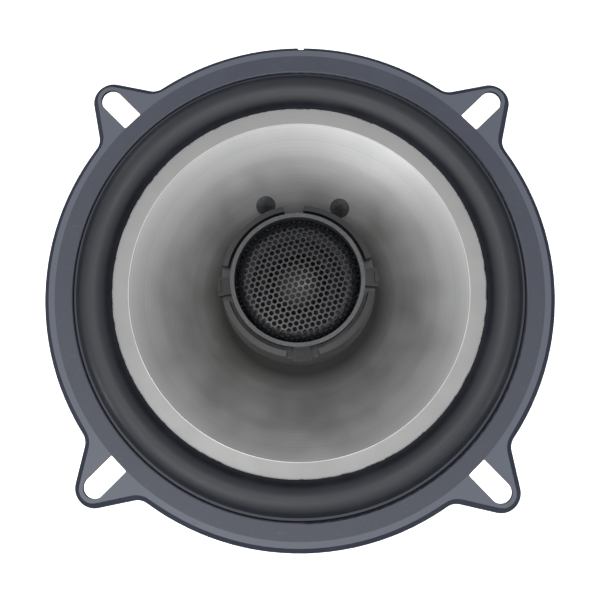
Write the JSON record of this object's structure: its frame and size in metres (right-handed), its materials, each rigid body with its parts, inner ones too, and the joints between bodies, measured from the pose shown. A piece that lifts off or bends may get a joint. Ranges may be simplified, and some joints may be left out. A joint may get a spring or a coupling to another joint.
{
  "type": "coaxial car speaker",
  "caption": "Round coaxial loudspeaker with slotted ears, spun metal cone, rubber surround, rear magnet and a small dome tweeter in a pod at its centre.",
  "frame": {"origin": "centre of the baffle face, the plane of the rim's rear edge that lies on the panel", "axes": "+Z along the speaker's axis towards the listener, +Y towards the terminals, +X to the right of +Y seen from the front; the ears point halfway between the X and Y axes"},
  "size_m": [0.13, 0.13, 0.0692],
  "materials": {
    "painted_steel": "satin slate-grey powder coat",
    "rubber": "matt butyl rubber",
    "spun_aluminium": "spun, fine concentric marks",
    "adhesive_black": "cured black rubber adhesive",
    "adhesive_clear": "cured clear adhesive bead",
    "spider_cloth": "resin-treated woven cotton",
    "kapton": "amber polyimide film",
    "copper_wire": "enamelled copper winding",
    "zinc_steel": "bright zinc plate",
    "ferrite": "ground sintered ferrite",
    "black_plastic": "moulded ABS",
    "grey_bezel": "satin painted ABS",
    "black_mesh": "gloss black coated perforated steel",
    "neodymium": "nickel plate",
    "dome_film": "thin moulded film",
    "dome_edge_cloth": "coated cloth",
    "tinned_brass": "tin plate",
    "board_fibre": "brown laminated paper board",
    "tinsel_braid": "braided tinsel",
    "wire_red": "PVC insulation",
    "wire_black": "PVC insulation",
    "capacitor_sleeve": "shrunk film sleeve",
    "hot_glue": "cloudy hot-melt"
  },
  "bodies": {
    "basket": {"basket_frame": "painted_steel", "basket_rivets": "painted_steel", "surround": "rubber", "spider": "spider_cloth", "top_plate": "zinc_steel", "ferrite_magnet": "ferrite", "pole_yoke": "zinc_steel", "tweeter_post": "zinc_steel", "post_washer": "zinc_steel", "post_nut": "zinc_steel", "tweeter_pod": "black_plastic", "tweeter_bezel": "grey_bezel", "tweeter_grille": "black_mesh", "tweeter_frame_ring": "black_plastic", "tweeter_yoke": "zinc_steel", "tweeter_magnet": "neodymium", "tweeter_pole_cap": "zinc_steel", "tweeter_dome_edge": "dome_edge_cloth", "terminal_board": "board_fibre", "board_rivets": "tinned_brass", "terminal_blade_positive": "tinned_brass", "terminal_blade_negative": "tinned_brass", "tinsel_lead_positive": "tinsel_braid", "tinsel_lead_negative": "tinsel_braid", "crossover_capacitor": "capacitor_sleeve", "capacitor_adhesive": "hot_glue", "capacitor_lead": "wire_red", "tweeter_lead_positive": "wire_red", "tweeter_lead_negative": "wire_black"},
    "cone_assembly": {"cone": "spun_aluminium", "cone_edge_bead": "adhesive_clear", "lead_glue_dots": "adhesive_black", "voice_coil_former": "kapton", "voice_coil_winding": "copper_wire"},
    "tweeter_diaphragm": {"tweeter_coil": "copper_wire", "tweeter_dome": "dome_film"}
  },
  "joints": [
    {"name": "cone_travel", "type": "slide", "parent": "basket", "child": "cone_assembly", "axis": [0, 0, 1], "range_m": [-0.003, 0.003], "stiffness_N_per_m": 1000, "deforming": ["surround", "spider", "tinsel_lead_positive", "tinsel_lead_negative"]},
    {"name": "tweeter_travel", "type": "slide", "parent": "basket", "child": "tweeter_diaphragm", "axis": [0, 0, 1], "range_m": [-0.0003, 0.0003], "stiffness_N_per_m": 2000, "deforming": ["tweeter_dome_edge"]}
  ]
}
